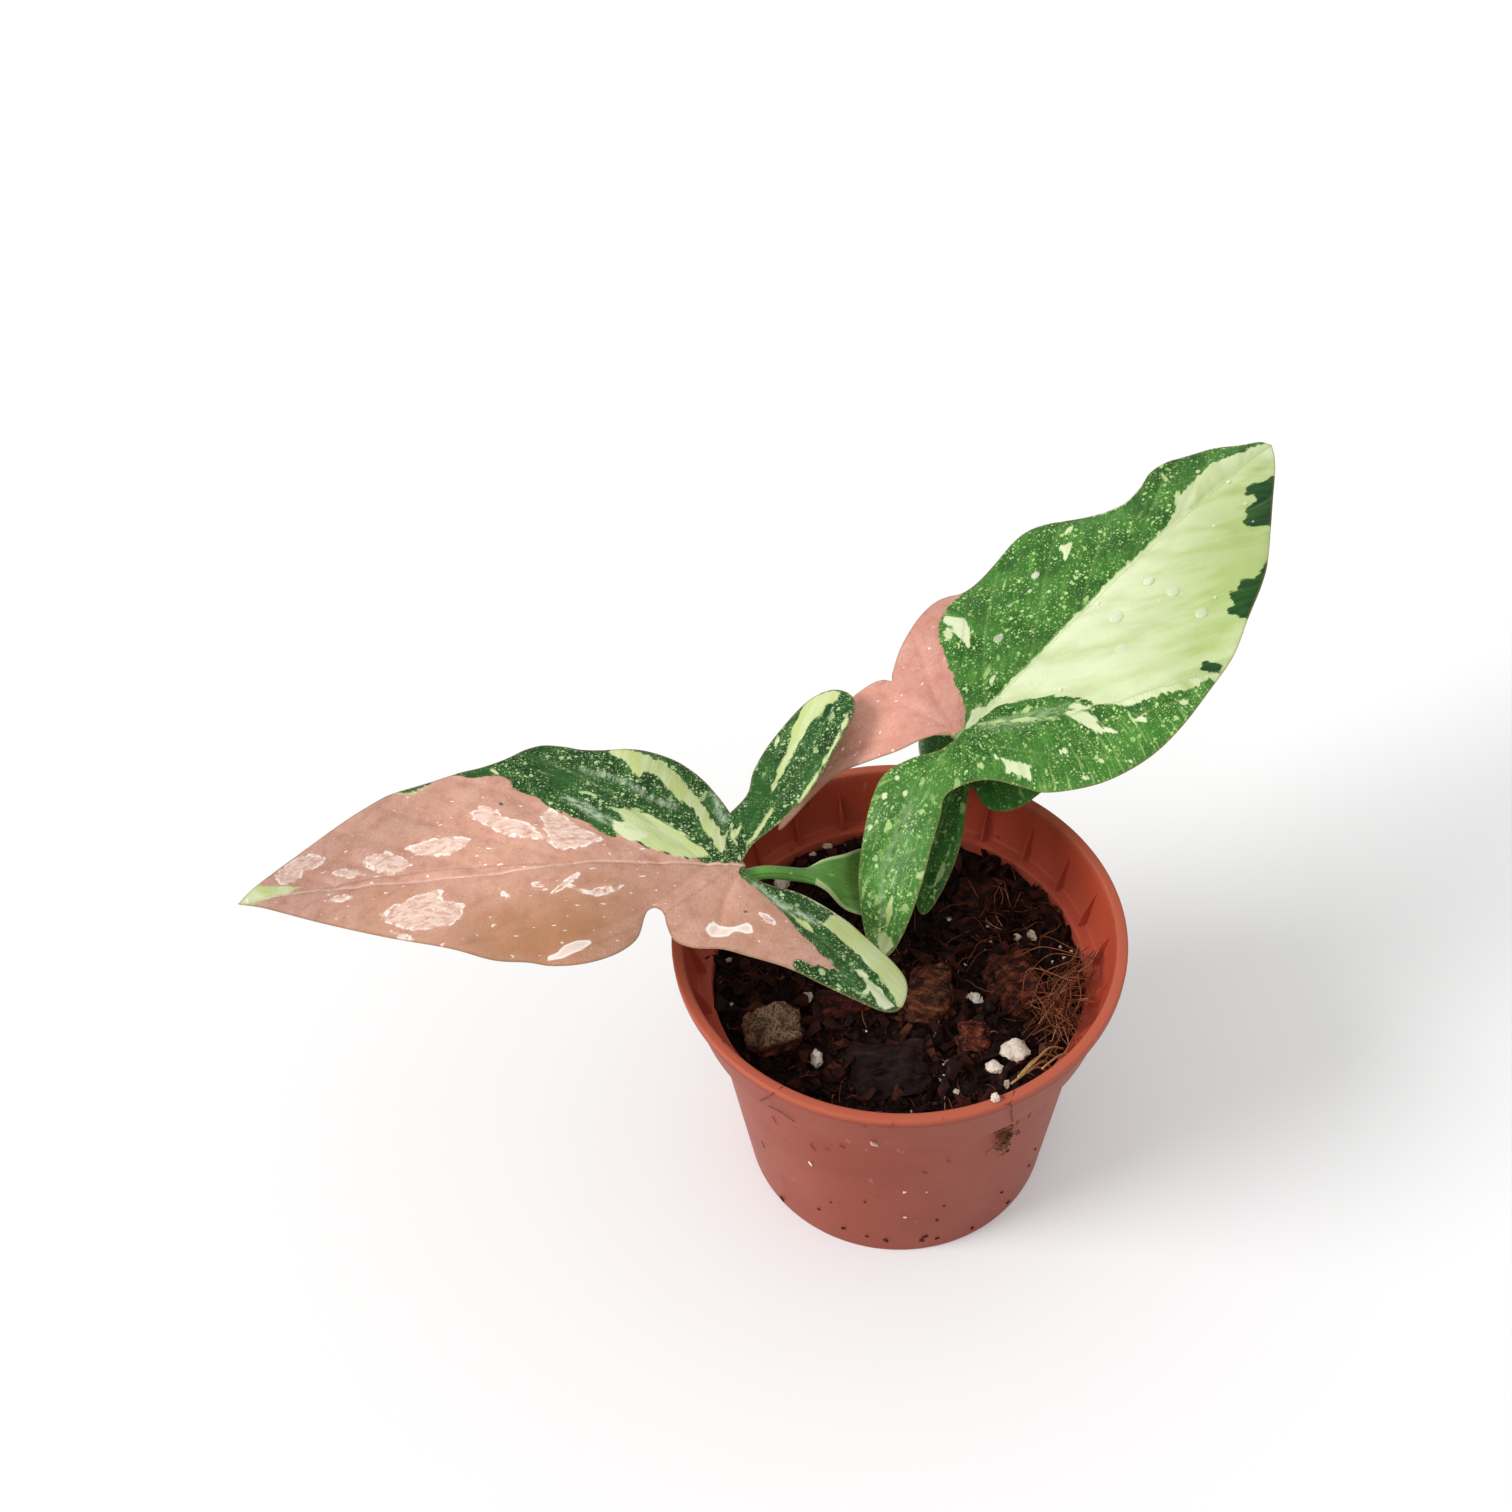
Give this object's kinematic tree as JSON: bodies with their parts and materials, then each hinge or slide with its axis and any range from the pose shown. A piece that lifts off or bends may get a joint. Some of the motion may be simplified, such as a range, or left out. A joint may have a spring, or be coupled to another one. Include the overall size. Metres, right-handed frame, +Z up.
{
  "type": "potted syngonium",
  "caption": "House plant with broad arrow-shaped eared leaves, splashed pink, cream and green, on sheathed stalks from a short stem in a filled round nursery pot.",
  "frame": {"origin": "middle of the pot's underside, on the surface that it stands on", "axes": "+Z up along the pot's axis; +X to the viewer's right, away from the pink leaf's tip; +Y away from the viewer, to the back of the pot"},
  "size_m": [0.1931, 0.117, 0.1036],
  "materials": {
    "terracotta_plastic": "thin moulded polypropylene in terracotta orange, satin, slightly dusty",
    "potting_mix": "damp dark mix of bark crumbs, coir fibre and white perlite, matte",
    "bark": "rough damp pieces of pine bark, matte with a few wet glints",
    "stem_skin": "smooth waxy green stem skin, satin",
    "pink_leaf": "satin leaf skin, dusty pink with dark green and pale green sectors",
    "green_cream_leaf": "satin leaf skin, speckled green with a cream sector and a pink shoulder",
    "green_leaf": "satin leaf skin, dark green with pale speckles",
    "petiole_skin": "smooth waxy olive-green stalk skin, satin"
  },
  "bodies": {
    "root": {"pot": "terracotta_plastic", "soil": "potting_mix", "bark_chunk_1": "bark", "bark_chunk_2": "bark", "bark_chunk_3": "bark", "bark_chunk_4": "bark", "bark_chunk_5": "bark", "bark_chunk_6": "bark", "bark_chunk_7": "bark", "bark_chunk_8": "bark", "stem_base": "stem_skin", "leaf_left": "pink_leaf", "leaf_right": "green_cream_leaf", "leaf_young": "green_leaf", "petiole_left": "petiole_skin", "petiole_right": "petiole_skin", "petiole_young": "petiole_skin"}
  },
  "joints": []
}
